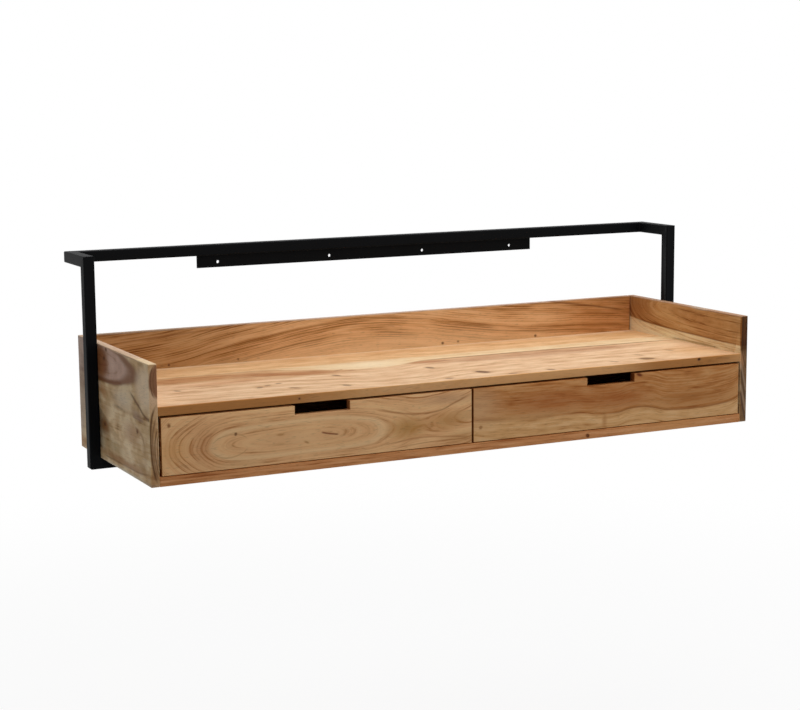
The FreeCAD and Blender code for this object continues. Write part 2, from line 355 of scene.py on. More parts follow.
class BoardSheet(Sheet):
    """Node tree of one board, with the measures that its steps share, in millimetres."""

    # Span of the bends, depth of the grain, and where the rubbing of an arris, with its painted highlight,
    # ends and is full
    DRIFT = (190, 42, 42)
    RELIEF = 0.12
    RUB = (1.6, 0.4)
    RUBBED = "#F0DCC0"

    def __init__(self, figure: AcaciaBoard, low: Vector, high: Vector) -> None:
        """Lay the measures along, across and through the board, straight and then a little bent.

        Args:
            figure: Wood of the board.
            low: Lowest corner of the board.
            high: Highest corner of the board.
        """
        super().__init__(bpy.data.materials.new(figure.name))
        self.figure = figure
        rows = Matrix(figure.lay.value)
        corner = Vector([low[k] if sum(row[k] for row in rows) > 0 else high[k] for k in range(3)])
        self.size = [abs(value) / MM for value in rows @ (high - low)]
        self.place = self.add("TexCoord").outputs
        self.board = self.add("Mapping", {
            "Vector": self.place["Object"],
            "Location": rows @ corner / -MM,
            "Rotation": rows.to_euler(),
            "Scale": (1 / MM, 1 / MM, 1 / MM),
        })
        self.bent = self.drift()
        self.along, self.across, self.through = self.add("SeparateXYZ", {0: self.bent}).outputs

    def finish(self) -> Material:
        """Colour the board, and give it its relief and its satin.

        Returns:
            The finished material.
        """
        growth = self.growth()
        late, tone, fibre, pores = self.rings(growth)
        colour = self.wear(self.lines(self.wood(growth, tone, fibre)))
        grain = self.add("MapRange", {0: fibre, 1: 0.3, 2: 0.7, 3: 0.92, 4: 1.06})
        shade = self.add("MapRange", {0: pores, 3: 1.0, 4: 0.8})
        for veil in (grain, shade):
            colour = self.add("MixRGB", {0: 1.0, 1: colour, 2: veil}, "MULTIPLY")
        relief = self.add("Math", {0: late, 1: 0.3, 2: fibre}, "MULTIPLY_ADD")
        relief = self.add("Math", {0: relief, 1: pores}, "SUBTRACT")
        bump = self.add("Bump", {"Strength": 0.35, "Distance": self.RELIEF * MM, "Height": relief})
        satin = self.add("MapRange", {0: tone, 3: 0.5, 4: 0.62})
        return self.close(self.add("BsdfPrincipled", {
            "Base Color": colour, "Roughness": satin, "IOR": 1.5, "Specular IOR Level": 0.1, "Normal": bump,
        }))

    def drift(self) -> Node:
        """Bend the board's straight measures a little, so that nothing on it is ruled.

        Returns:
            Node that gives the bent place.
        """
        seed, wave = self.figure.seed, self.figure.wave
        shifted = self.add("Mapping", {
            "Vector": self.board,
            "Location": (seed, seed * 0.7, seed * 0.3),
            "Scale": tuple(1 / span for span in self.DRIFT),
        })
        noise = self.add("TexNoise", {"Vector": shifted, "Scale": 1.0, "Detail": 3.0, "Roughness": 0.45})
        centred = self.add("VectorMath", {0: noise.outputs["Color"], 1: (0.5, 0.5, 0.5)}, "SUBTRACT")
        reach = (wave * 2, wave, wave)
        return self.add("VectorMath", {0: centred, 1: reach, 2: self.board}, "MULTIPLY_ADD")

    def growth(self) -> Input:
        """Work out where in the tree's growth a point lies.

        Returns:
            Node or socket that gives the growth.
        """
        figure, across = self.figure, self.across
        if figure.flow:
            bend = follow(self, figure.flow, self.along)
            if figure.joint:
                beyond = self.add("MapRange", {0: across, 1: figure.joint - 0.5, 2: figure.joint + 0.5})
                bend = self.add("Math", {0: bend, 1: beyond}, "MULTIPLY")
            across = self.add("Math", {0: across, 1: bend}, "SUBTRACT")
        if figure.pith:
            depth = self.add("Math", {0: self.through, 1: follow(self, figure.pith, self.along)}, "ADD")
            point = self.add("CombineXYZ", {0: across, 1: depth})
            growth = self.add("VectorMath", {0: point}, "LENGTH").outputs["Value"]
        else:
            growth = self.add("Math", {0: self.through, 1: figure.slope, 2: across}, "MULTIPLY_ADD")
        for knot in figure.knots:
            cover = knot.cover(self, self.bent, "QUADRATIC_SPHERE")
            growth = self.add("Math", {0: cover, 1: figure.ring, 2: growth}, "MULTIPLY_ADD")
        return growth

    def rings(self, growth: Input) -> tuple[Node, ...]:
        """Draw the rings, fibres and pores that follow the growth.

        Args:
            growth: Where in the tree's growth a point lies.

        Returns:
            Nodes that give the late growth, the tone, the fibres and the pores.
        """
        figure = self.figure
        marks = []
        for (length, width), detail, side in (
            (figure.fibre, 4.0, growth), (figure.pore, 0.0, self.across), (figure.cloud, 2.0, growth),
        ):
            lined = self.add("CombineXYZ", {0: self.along, 1: side, 2: self.through})
            lined = self.add("VectorMath", {0: lined, 1: (1 / length, 1 / width, 1 / width)}, "MULTIPLY")
            lined = self.add("VectorMath", {0: lined, 1: (figure.seed,) * 3}, "ADD")
            marks.append(self.add("TexNoise", {
                "Vector": lined, "Scale": 1.0, "Detail": detail, "Roughness": 0.6,
            }))
        fibre, speck, cloud = marks
        pores = self.add("MapRange", {0: speck, 1: 0.66, 2: 0.76})
        year = self.add("Math", {0: growth, 1: 1 / figure.ring}, "MULTIPLY")
        uneven = self.add("TexNoise", {"W": year, "Scale": 0.31, "Detail": 2.0}, "1D")
        for part, share in ((uneven, 2.6), (fibre, 0.35)):
            year = self.add("Math", {0: part, 1: share, 2: year}, "MULTIPLY_ADD")
        season = self.add("Math", {0: year}, "FRACT")
        late = self.add("Math", {0: season, 1: figure.sharp}, "POWER")
        lean = self.add("TexNoise", {"W": year, "Scale": 0.47, "Detail": 1.0}, "1D")
        lean = self.add("MapRange", {0: lean, 1: 0.35, 2: 0.7, 3: figure.even})
        fade = self.add("MapRange", {0: cloud, 1: 0.35, 2: 0.6, 3: 0.25, 4: 1.0})
        for part in (lean, fade):
            late = self.add("Math", {0: late, 1: part}, "MULTIPLY")
        broad = self.add("TexNoise", {"W": year, "Scale": 0.2, "Detail": 4.0, "Roughness": 0.62}, "1D")
        broad = self.add("MapRange", {0: broad, 1: 0.28, 2: 0.72})
        tone = 0.45 - figure.contrast * (0.13 * figure.late + 0.5 * figure.broad)
        for part, share in ((late, figure.late), (broad, figure.broad)):
            tone = self.add("Math", {0: part, 1: share * figure.contrast, 2: tone}, "MULTIPLY_ADD")
        for part, share in ((fibre, figure.grain), (cloud, figure.mottle)):
            centred = self.add("Math", {0: part, 1: 0.5}, "SUBTRACT")
            tone = self.add("Math", {0: centred, 1: share, 2: tone}, "MULTIPLY_ADD")
        return late, tone, fibre, pores

    def wood(self, growth: Input, tone: Node, fibre: Node) -> Node:
        """Colour the heartwood, then the core, bands, stains and painted light patches, and knots on it.

        Args:
            growth: Where in the tree's growth a point lies.
            tone: Tone of the growth.
            fibre: Fibres, which fray the knots.

        Returns:
            Node that gives the colour.
        """
        figure = self.figure
        colour = figure.tones.paint(self, tone)
        if figure.core:
            reach, soft = figure.core.reach, figure.core.soft
            for start, end, tint in (
                (reach + 1.5 * soft, reach - soft / 2, linear(figure.core.rim)),
                (reach - soft, reach - 4 * soft, figure.core.tones.paint(self, tone)),
            ):
                colour = self.lay(colour, tint, growth, start, end)
        for band in figure.bands:
            edge = follow(self, band.line, self.along)
            over = self.add("Math", {0: self.across, 1: edge}, "SUBTRACT")
            near = band.soft if band.above else -band.soft
            colour = self.lay(colour, band.tones.paint(self, tone), over, near, -near)
        for patch in figure.stains:
            cover = patch.cover(self, self.bent)
            mixing = "MULTIPLY" if patch.tint else "MIX"
            colour = self.lay(colour, linear(patch.colour), cover, 0.0, patch.soft, patch.strength, mixing)
        for knot in figure.knots:
            cover = self.add("Math", {0: knot.cover(self, self.bent), 1: 0.175}, "SUBTRACT")
            cover = self.add("Math", {0: fibre, 1: 0.35, 2: cover}, "MULTIPLY_ADD")
            for tint, start, end, share in ((knot.halo, 0.1, 0.45, 0.6), (knot.heart, 0.42, 0.66, 1.0)):
                colour = self.lay(colour, linear(tint), cover, start, end, knot.strength * share)
        return colour

    def lines(self, colour: Node) -> Node:
        """Draw the single lines that stand out from the rings, on the board or on its front end.

        Args:
            colour: Colour so far.

        Returns:
            Node that gives the colour.
        """
        straight = self.add("SeparateXYZ", {0: self.board}).outputs
        front = (self.size[0] - 1.5, self.size[0] - 0.5)
        for streak in self.figure.streaks:
            run, side = (straight[1], straight[2]) if streak.end else (self.along, self.across)
            over = self.add("Math", {0: side, 1: follow(self, streak.line, run)}, "SUBTRACT")
            over = self.add("Math", {0: over}, "ABSOLUTE")
            cover = self.add("MapRange", {0: over, 1: streak.width, 2: 0.0, 4: streak.strength}, "SMOOTHSTEP")
            start, end = streak.line[0][0], streak.line[-1][0]
            fade = (end - start) * 0.15
            for place, near, far in (
                (run, start, start + fade),
                (run, end, end - fade),
                (straight[0], *(front if streak.end else front[::-1])),
            ):
                window = self.add("MapRange", {0: place, 1: near, 2: far}, "SMOOTHSTEP")
                cover = self.add("Math", {0: cover, 1: window}, "MULTIPLY")
            colour = self.add("MixRGB", {0: cover, 1: colour, 2: linear(streak.colour)})
        return colour

    def wear(self, colour: Node) -> Node:
        """Darken the end grain, which drinks more oil, and rub the arrises a little paler, partly as a painted
        highlight.

        Args:
            colour: Colour so far.

        Returns:
            Node that gives the colour.
        """
        figure = self.figure
        facing = self.add("VectorMath", {0: self.place["Normal"], 1: figure.lay.value[0]}, "DOT_PRODUCT")
        facing = self.add("Math", {0: facing.outputs["Value"]}, "ABSOLUTE")
        end = self.add("MapRange", {0: facing, 1: 0.75, 2: 0.95})
        colour = self.add("MixRGB", {0: end, 1: colour, 2: linear(figure.end_tone)}, "MULTIPLY")
        half = tuple(value / 2 for value in self.size)
        away = self.add("VectorMath", {0: self.board, 1: half}, "SUBTRACT")
        away = self.add("VectorMath", {0: away}, "ABSOLUTE")
        inset = self.add("VectorMath", {0: half, 1: away}, "SUBTRACT")
        sides = self.add("SeparateXYZ", {0: inset}).outputs
        least = self.add("Math", {0: sides[0], 1: sides[1]}, "MINIMUM")
        most = self.add("Math", {0: sides[0], 1: sides[1]}, "MAXIMUM")
        third = self.add("Math", {0: most, 1: sides[2]}, "MINIMUM")
        middle = self.add("Math", {0: least, 1: third}, "MAXIMUM")
        # arrises rubbed paler, partly a painted highlight where the rounding catches light
        return self.lay(colour, linear(self.RUBBED), middle, *self.RUB, 0.35, "SOFT_LIGHT")


DESKTOP = AcaciaBoard(
    name="acacia_desktop_oiled", lay=Lay.FLAT, tones=Tones("#EDC8A0", "#DFB58C", "#B78559"), ring=7.0,
    contrast=0.6, sharp=1.6, late=0.6, even=0.3, mottle=1.1, cloud=(60.0, 20.0), fibre=(110.0, 2.2), seed=3.0,
    joint=107.0,
    flow=((0, 4), (200, 8), (270, 14), (330, 26), (380, 42), (425, 56), (490, 62), (540, 54), (575, 42),
          (620, 34), (800, 31), (1000, 34), (1170, 40)),
    bands=(
        Band(((0, 182), (120, 186), (200, 190), (260, 200), (360, 208), (415, 204), (445, 190), (480, 120),
              (520, 90), (1170, 90)), Tones("#D9AE82", "#CA9A6E", "#9E6A3E"), 6.0, above=True),
        Band(((0, 110), (270, 110), (330, 128), (380, 152), (425, 176), (490, 188), (540, 180), (575, 160),
              (620, 148), (800, 147), (1000, 151), (1170, 158)), Tones("#F1D5AC", "#E8C698", "#D2A677"),
             3.0, above=True),
        Band(((0, 107), (1170, 107)), Tones("#F3C897", "#E3B481", "#C08B56"), 1.0, above=True),
    ),
    stains=(
        Stain(490, 146, 110, 46, "#F4DCB6", 0.9),
        Stain(830, 186, 310, 44, "#E2D7D2", 1.0, 0.5, tint=True),
        Stain(596, 170, 60, 18, "#DCC6B4", 1.0, 0.7, tint=True),
        Stain(315, 172, 120, 26, "#E2CEBC", 1.0, 0.6, turn=12, tint=True),
        Stain(140, 142, 140, 44, "#EBDCCB", 1.0, 0.6, tint=True),
        Stain(180, 204, 190, 26, "#F0E0D6", 1.0, tint=True),
        Stain(1120, 300, 90, 90, "#CF9C64", 0.5),
        Stain(1110, 50, 120, 60, "#CB9860", 0.6),
        Stain(90, 60, 130, 60, "#C89260", 0.5),
        Stain(1140, 188, 110, 20, "#E2BE94", 0.8, 0.5, turn=-10),
        # painted light: a pale strip along the rear edge that cancels the shade where the back board meets the
        # desktop
        Stain(585, -4, 5000, 30, "#FCE0B8", 0.85, depth=400),
        Stain(585, 378, 5000, 5, "#DCA266", 0.9, depth=400),
        Stain(120, 378, 300, 5, "#B4763C", 0.85, 0.6, depth=40),
        Stain(1040, 378, 170, 5, "#B4763C", 0.85, 0.6, depth=40),
    ),
    streaks=(
        Streak(((545, 186), (575, 162), (620, 151), (800, 151), (1000, 155), (1200, 162)), 7, "#8A6232", 0.9),
        Streak(((410, 203), (440, 193), (480, 194)), 5, "#A9764B", 0.6),
        Streak(((150, 200), (260, 207), (380, 210), (450, 196)), 4, "#B98455", 0.5),
        Streak(((216, 150), (232, 168), (246, 190)), 4, "#8E5A32", 0.6),
        Streak(((250, 158), (265, 178), (276, 192)), 4, "#8E5A32", 0.6),
        Streak(((284, 146), (302, 166), (318, 190)), 4, "#8E5A32", 0.6),
        Streak(((322, 166), (340, 184), (352, 198)), 4, "#8E5A32", 0.55),
        Streak(((400, 186), (414, 180), (430, 170)), 4, "#8E5A32", 0.6),
        Streak(((86, 120), (100, 130), (114, 142)), 4, "#9A653A", 0.5),
    ),
    knots=(
        Knot(635, 323, 30, 20, 0.9, turn=70),
        Knot(980, 341, 32, 22, 0.85, "#7A5632", "#B98E60", turn=15),
        Knot(990, 297, 20, 12, 0.4, "#8A6240", "#B98E66", turn=70),
        Knot(575, 236, 22, 13, 0.7, turn=80),
        Knot(390, 230, 18, 11, 0.65, turn=60),
        Knot(218, 281, 15, 10, 0.6, turn=-30),
        Knot(240, 268, 13, 9, 0.5, turn=-30),
        Knot(264, 258, 13, 9, 0.5, turn=-20),
        Knot(360, 334, 20, 12, 0.6, turn=60),
        Knot(272, 314, 22, 13, 0.5, "#8A6240", "#B98E66", turn=60),
        Knot(550, 356, 18, 11, 0.55),
        Knot(676, 364, 20, 11, 0.55),
        Knot(757, 362, 18, 12, 0.65, turn=60),
        Knot(905, 341, 18, 9, 0.4, turn=60),
        Knot(1076, 275, 17, 10, 0.5, turn=60),
        Knot(82, 243, 16, 10, 0.5, turn=70),
        Knot(1075, 379, 8, 7, 0.95, "#4A2E18", "#A8744A", through=4, depth=6),
        Knot(251, 379, 6, 6, 0.95, "#4A2E18", "#A8744A", through=7, depth=5),
    ),
)
BACK = AcaciaBoard(
    name="acacia_back_board_oiled", lay=Lay.UPRIGHT, tones=Tones("#F2C08C", "#DDA56E", "#9A6532"), ring=4.2,
    wave=4.0, sharp=1.5, late=0.8, broad=0.6, even=0.45, fibre=(150.0, 1.6), seed=11.0,
    flow=((0, 80), (150, 67), (250, 47), (350, 30), (450, 15), (545, 8), (650, 14), (750, 28), (850, 42),
          (950, 50), (1050, 54), (1170, 62)),
    stains=(
        Stain(640, 72, 420, 50, "#FBD2A0", 0.65, 0.8),
        Stain(340, 80, 220, 28, "#F4C896", 0.65),
        Stain(930, 78, 200, 26, "#F2C490", 0.55),
        # painted sheen: a greyish strip on the top face where light glances off it
        Stain(585, 0, 5000, 2.4, "#C6AC9C", 0.9, 0.6, depth=400),
        Stain(90, 40, 330, 150, "#D5CFC0", 0.9, 0.8, tint=True),
        Stain(1130, 30, 190, 110, "#E0CDB6", 0.9, 0.7, tint=True),
    ),
    streaks=(
        Streak(((0, 26), (90, 16), (200, 9), (330, 2)), 3, "#8E5830", 0.5),
        Streak(((190, 56), (300, 36), (420, 17), (520, 9)), 3, "#A06C3C", 0.5),
        Streak(((955, -4), (1010, 6), (1080, 16), (1165, 30)), 3.5, "#7A4A26", 0.7),
    ),
    knots=(
        Knot(152, 67, 5, 5, 0.7, "#5A3A22", "#A8744A"),
        Knot(290, 66, 5, 4, 0.5, "#5A3A22", "#A8744A"),
        Knot(725, 68, 5, 5, 0.7, "#5A3A22", "#A8744A"),
        Knot(760, 67, 5, 4, 0.5, "#5A3A22", "#A8744A"),
        Knot(938, 68, 5, 5, 0.7, "#5A3A22", "#A8744A"),
    ),
)
LEFT_FRONT = AcaciaBoard(
    name="acacia_left_drawer_front_oiled", lay=Lay.UPRIGHT, tones=Tones("#F8C78F", "#EBB580", "#AE6E3A"),
    ring=4.6, wave=6.0, contrast=0.66, sharp=1.3, broad=0.7, even=0.5, fibre=(90.0, 2.0), grain=1.9,
    seed=21.0, core=Core(31.0, Tones("#F7C68E", "#ECB782", "#BE8450"), "#F4C894", 2.0),
    flow=((0, 50), (118, 55), (310, 53), (410, 55), (470, 55), (540, 50), (580, 42)),
    pith=((0, 75), (20, 62), (60, 44), (84, 32), (104, 23), (128, 17), (165, 14), (220, 12), (300, 12),
          (370, 20), (410, 30), (440, 36), (470, 42), (505, 41), (540, 38), (580, 34)),
    stains=(
        Stain(235, 58, 150, 24, "#E9BA88", 0.4),
        Stain(20, 56, 44, 40, "#E0A668", 0.55),
        Stain(72, 54, 34, 56, "#CB9060", 0.5),
        Stain(452, 58, 60, 30, "#B98444", 0.8),
        Stain(530, 52, 60, 26, "#BE8548", 0.7),
        Stain(560, 84, 60, 16, "#C4925A", 0.6),
        Stain(530, 12, 80, 16, "#C29570", 0.6),
        Stain(140, 90, 60, 10, "#E6B884", 0.75, 0.7),
        Stain(565, 46, 40, 14, "#D8A873", 0.6, 0.7),
    ),
    streaks=(
        Streak(((385, 16), (430, 28), (470, 35), (505, 34), (540, 22), (585, 2)), 3, "#9A5E2C", 0.6),
        Streak(((284, 50), (300, 53), (320, 56)), 2.5, "#7A3A1E", 0.85),
        Streak(((86, 60), (92, 48), (108, 40), (128, 38), (146, 44), (154, 56)), 2, "#B98A5C", 0.5),
        Streak(((86, 58), (94, 70), (112, 77), (132, 75), (148, 67), (154, 54)), 2, "#B98A5C", 0.5),
        Streak(((395, 86), (440, 80), (480, 77), (530, 80), (590, 87)), 2.5, "#A8683A", 0.5),
        Streak(((420, 94), (470, 88), (520, 86), (590, 93)), 2, "#A8683A", 0.45),
    ),
    knots=(
        Knot(13, 13, 5, 6, 0.7, "#8A5630", "#B47C48"),
        Knot(129, 38, 4, 4, 0.85, "#4A2C16", "#8C5A32"),
        Knot(258, 64, 9, 3, 0.5, "#A5692F", "#C08A54", turn=20),
        Knot(210, 47, 12, 4, 0.5, "#AD7238", "#C8935C"),
    ),
)
RIGHT_FRONT = AcaciaBoard(
    name="acacia_right_drawer_front_oiled", lay=Lay.UPRIGHT, tones=Tones("#D79E66", "#C4834A", "#945322"),
    ring=4.0, contrast=0.75, mottle=1.3, cloud=(55.0, 9.0), sharp=3.0, wave=5.0, seed=33.0,
    flow=((0, 56), (100, 63), (200, 64), (290, 70), (345, 63), (420, 75), (480, 77), (580, 58)),
    bands=(
        Band(((0, 58), (100, 65), (200, 66), (290, 71), (345, 64), (420, 76), (480, 78), (585, 58)),
             Tones("#F3C38C", "#E4B076", "#BC814A"), 4.0),
    ),
    stains=(
        Stain(165, 36, 160, 40, "#AE6230", 0.6),
        Stain(310, 42, 110, 34, "#A95D2A", 0.6),
        Stain(470, 56, 130, 24, "#AC6E38", 0.6),
        Stain(276, 84, 8, 24, "#B06A30", 0.5),
        Stain(10, 35, 70, 60, "#DDB083", 0.6),
        Stain(110, 61, 150, 9, "#D8A670", 0.65, 0.8),
    ),
    streaks=(
        Streak(((270, 69), (290, 71), (345, 63), (420, 75), (480, 77), (585, 57)), 3, "#8A5225", 0.5),
    ),
    knots=(
        Knot(14, 71, 6, 6, 0.6, "#A06A3C", "#B98250"),
        Knot(351, 3, 12, 6, 0.85, "#6B3018", "#93552E", turn=20),
    ),
)
LEFT_SIDE = AcaciaBoard(
    name="acacia_left_side_board_oiled", lay=Lay.END_ON, tones=Tones("#FBE0B6", "#DEBB8C", "#9C7246"),
    ring=9.0, wave=9.0, contrast=0.7, mottle=1.9, cloud=(60.0, 34.0), fibre=(60.0, 2.2), grain=0.5, seed=41.0,
    core=Core(35.0, Tones("#E6C4B0", "#DAB6A2", "#B88E76"), "#94684A", 2.6), end_tone="#E0D2C8",
    flow=((0, 27), (390, 27)),
    pith=((0, -4), (124, -5), (200, -12), (265, -25), (314, -32), (347, -36), (390, -41)),
    stains=(
        Stain(372, 44, 66, 46, "#FFE4C2", 0.9, 0.6),
        Stain(250, 80, 74, 26, "#EAD4B6", 0.9),
        Stain(325, 92, 44, 12, "#B3937E", 0.7),
        Stain(295, 130, 66, 28, "#C89A74", 0.7),
        Stain(200, 170, 70, 20, "#BFA374", 0.7),
        Stain(260, 188, 230, 10, "#AE7E50", 0.85),
        Stain(262, 203, 230, 6, "#E9DAC4", 0.9),
        Stain(345, 178, 40, 16, "#AC8356", 0.7),
        Stain(362, 150, 22, 34, "#B58A5A", 0.6),
        Stain(134, 30, 56, 44, "#B08A62", 1.0, 0.6, tint=True),
        Stain(140, 80, 44, 18, "#BC8352", 0.8),
        Stain(148, 112, 50, 20, "#B58A5C", 0.7),
        Stain(148, 140, 42, 26, "#8E5A2A", 0.9, 0.8),
        Stain(225, 97, 40, 5, "#A08468", 0.7),
        Stain(0, 60, 60, 150, "#B49C8D", 0.7, 0.4),
        Stain(10, 194, 46, 22, "#C99A70", 0.7),
        Stain(391, 30, 6, 33, "#A67C5E", 1.0, 0.25, through=18, depth=21),
        # painted sheen on the top face, paler towards the front
        Stain(195, 0, 2000, 2.5, "#D2B294", 0.9, 0.6, depth=400),
        Stain(375, 0, 70, 3, "#EBD0A8", 0.9, 0.6, depth=400),
    ),
    streaks=(
        Streak(((100, 62), (150, 60), (190, 57), (260, 52)), 5, "#7A4C26", 0.8),
        Streak(((285, 60), (310, 67), (343, 78), (367, 87), (388, 90), (420, 90)), 5, "#6E4A30", 0.8),
        Streak(((310, 118), (335, 122), (352, 130), (364, 144), (366, 156)), 7, "#A87850", 0.6),
        Streak(((300, 98), (325, 99), (365, 96)), 5, "#9A7868", 0.6),
        Streak(((120, 196), (220, 193), (330, 190), (392, 180)), 3, "#7F5A36", 0.6),
        Streak(((2, 12), (10, 6), (25, 3), (40, 4), (58, 11)), 1.8, "#7A583A", 0.8, end=True),
        Streak(((8, 15), (20, 9), (32, 8), (50, 14)), 1.6, "#8E6A48", 0.7, end=True),
        Streak(((64, 16), (76, 8), (92, 3.5), (120, 1), (150, 2), (175, 5), (205, 14)),
               3.4, "#745638", 0.95, end=True),
        Streak(((84, 15), (100, 8), (125, 4.5), (150, 5.5), (175, 8.5), (200, 16)),
               2.6, "#96775A", 0.8, end=True),
        Streak(((104, 15), (120, 10), (140, 8), (160, 9.5), (190, 16)), 2.2, "#7E6042", 0.85, end=True),
        Streak(((116, 16), (135, 12), (155, 12.5), (176, 16)), 2.2, "#8E6E4E", 0.8, end=True),
    ),
    knots=(
        Knot(153, 21, 11, 7, 0.9, "#4E2C12", "#7E4E26"),
        Knot(166, 5, 10, 6, 0.7, "#5A3418", "#8A5A30"),
        Knot(324, 122, 9, 7, 0.85, "#4A2E1A", "#8A6038"),
        Knot(150, 138, 13, 8, 0.85, "#5E3616", "#94602E"),
    ),
)
RIGHT_SIDE = AcaciaBoard(
    name="acacia_right_side_board_oiled", lay=Lay.END_ON, tones=Tones("#D6A870", "#C28E57", "#865022"),
    ring=7.0, wave=5.0, sharp=2.2, even=0.3, seed=57.0, end_tone="#B4A59E",
    flow=((0, 6), (100, 9), (250, 20), (390, 24)),
    pith=((0, 62), (12, 55), (40, 42), (80, 28), (150, 16), (390, 12)),
    bands=(
        Band(((0, 42), (12, 43), (87, 50), (142, 53), (262, 55), (392, 58)),
             Tones("#FDECC4", "#F5DDAE", "#D6B07C"), 2.0),
    ),
    stains=(
        Stain(30, 14, 90, 44, "#DCC8B4", 0.9, 0.8, tint=True),
        Stain(391, 150, 6, 130, "#C8B6A6", 1.0, 0.2, through=7, depth=80, tint=True),
        Stain(391, 30, 6, 44, "#C4B298", 1.0, 0.2, through=7, depth=40, tint=True),
        Stain(391, 84, 6, 22, "#F8C898", 0.9, 0.5, through=1, depth=10),
        # greyish painted sheen on the top face
        Stain(195, 0, 2000, 2.5, "#A98368", 0.95, 0.6, depth=400),
        Stain(250, 0, 40, 4, "#B59C86", 0.9, 0.6, depth=400),
    ),
    streaks=(
        Streak(((20, 43), (87, 49), (150, 52), (262, 54), (392, 57)), 3, "#7C4A20", 0.65),
        Streak(((150, 73), (190, 70), (260, 69), (330, 71)), 3, "#94703C", 0.6),
        Streak(((-8, 5), (20, 4), (50, 3), (76, 1)), 2.4, "#64503C", 0.8, end=True),
        Streak(((-8, 9), (20, 8), (55, 8), (84, 10)), 1.8, "#7A6248", 0.7, end=True),
        Streak(((-8, 13), (25, 12), (60, 13), (90, 15)), 2.2, "#5E4A38", 0.8, end=True),
        Streak(((60, 2), (80, 6), (105, 14)), 2.5, "#8A6A46", 0.8, end=True),
        Streak(((88, 0), (110, 5), (150, 15)), 3, "#FFF0D8", 0.6, end=True),
        Streak(((100, 0), (125, 4), (165, 14)), 3.5, "#8F7A62", 0.95, end=True),
        Streak(((128, 0), (150, 5), (190, 15)), 3.5, "#FFE8CC", 0.7, end=True),
        Streak(((142, 0), (165, 4), (205, 14)), 3.5, "#8A7262", 0.95, end=True),
    ),
)
BOTTOM = AcaciaBoard(
    name="acacia_bottom_board_oiled", lay=Lay.FLAT, tones=Tones("#E6A976", "#D4925D", "#9F5C2E"), ring=8.0,
    seed=63.0,
    stains=(
        Stain(1010, 374, 140, 30, "#D89C62", 0.6),
    ),
    knots=(
        Knot(825, 379, 7, 7, 0.8, "#5A2E14", "#8E5528", through=9, depth=6),
    ),
)
DIVIDER = AcaciaBoard(
    name="acacia_divider_planed", lay=Lay.END_ON, tones=Tones("#E9B583", "#DA9A64", "#A5683A"), seed=71.0,
)
# Boards behind the fronts: planed acacia with an even figure, hardwood runners that wax makes deeper, and
# sanded plywood, whose peeled veneer is pale with broad rings
DRAWER_BOARD = AcaciaBoard("acacia_{}_planed", Lay.END_ON, Tones("#E6B98A", "#D8A674", "#B27F50"))
RUNNER = AcaciaBoard("hardwood_{}_waxed", Lay.END_ON, Tones("#D9AE7C", "#C9975F", "#A27041"))
PLYWOOD = AcaciaBoard("plywood_{}_sanded", Lay.FLAT, Tones("#E9CDA4", "#DDBC90", "#C39C6E"),
                      ring=22.0, wave=16.0)


@dataclass(frozen=True)
class PowderCoat:
    """Mild steel, powder coated and baked: a matt black skin with a fine orange peel that breaks highlights.

    The peel, the clouds and the ripple of a weld bead are in millimetres.
    """

    name: str = "powder_coated_steel_matt_black"
    colour: str = "#050608"
    bare: str = "#090A0C"
    peel: float = 0.7
    cloud: float = 40.0
    ripple: float = 0.0

    def material(self) -> Material:
        """Write the coat's material.

        Returns:
            The finished material.
        """
        sheet = Sheet(bpy.data.materials.new(self.name))
        place = sheet.add("TexCoord").outputs["Object"]
        peel = sheet.add("TexNoise", {"Vector": place, "Scale": 1 / (self.peel * MM), "Detail": 2.0})
        cloud = sheet.add("TexNoise", {"Vector": place, "Scale": 1 / (self.cloud * MM), "Detail": 3.0})
        thin = sheet.add("MapRange", {0: cloud, 1: 0.4, 2: 0.75, 4: 0.35})
        colour = sheet.add("MixRGB", {0: thin, 1: linear(self.colour), 2: linear(self.bare)})
        rough = sheet.add("MapRange", {0: cloud, 3: 0.48, 4: 0.62})
        bump = sheet.add("Bump", {"Strength": 0.25, "Distance": 0.05 * MM, "Height": peel})
        if self.ripple:
            waves = sheet.add("TexNoise", {"Vector": place, "Scale": 1 / (self.ripple * MM), "Detail": 0.0})
            bump = sheet.add("Bump", {"Strength": 0.8, "Distance": 0.4 * MM, "Height": waves, "Normal": bump})
        return sheet.close(sheet.add("BsdfPrincipled", {
            "Base Color": colour, "Roughness": rough, "IOR": 1.5, "Specular IOR Level": 0.065, "Normal": bump,
        }))


@dataclass(frozen=True)
class ZincPlate:
    """Steel, zinc plated: a bright grey metal with a faint bluish bloom, in clouds given in millimetres."""

    name: str = "zinc_plated_steel"
    colour: str = "#C4C7CA"
    bloom: str = "#A9AFB6"
    cloud: float = 3.0

    def material(self) -> Material:
        """Write the plating's material.

        Returns:
            The finished material.
        """
        sheet = Sheet(bpy.data.materials.new(self.name))
        place = sheet.add("TexCoord").outputs["Object"]
        cloud = sheet.add("TexNoise", {"Vector": place, "Scale": 1 / (self.cloud * MM), "Detail": 4.0})
        colour = sheet.add("MixRGB", {0: cloud, 1: linear(self.colour), 2: linear(self.bloom)})
        rough = sheet.add("MapRange", {0: cloud, 3: 0.25, 4: 0.45})
        bump = sheet.add("Bump", {"Strength": 0.2, "Distance": 0.03 * MM, "Height": cloud})
        return sheet.close(sheet.add("BsdfPrincipled", {
            "Base Color": colour, "Metallic": 1.0, "Roughness": rough, "Normal": bump,
        }))


# Modelling steps that the pieces share

class Part(Enum):
    """Parts of a mesh that can be picked: the word of the edit mode, and the mesh's list of them."""

    FACES = ("FACE", "polygons")
    EDGES = ("EDGE", "edges")


class Cut(Enum):
    """What a tool does to a piece: it takes its own shape away, or leaves only what lies in it."""

    AWAY = "DIFFERENCE"
    WITHIN = "INTERSECT"


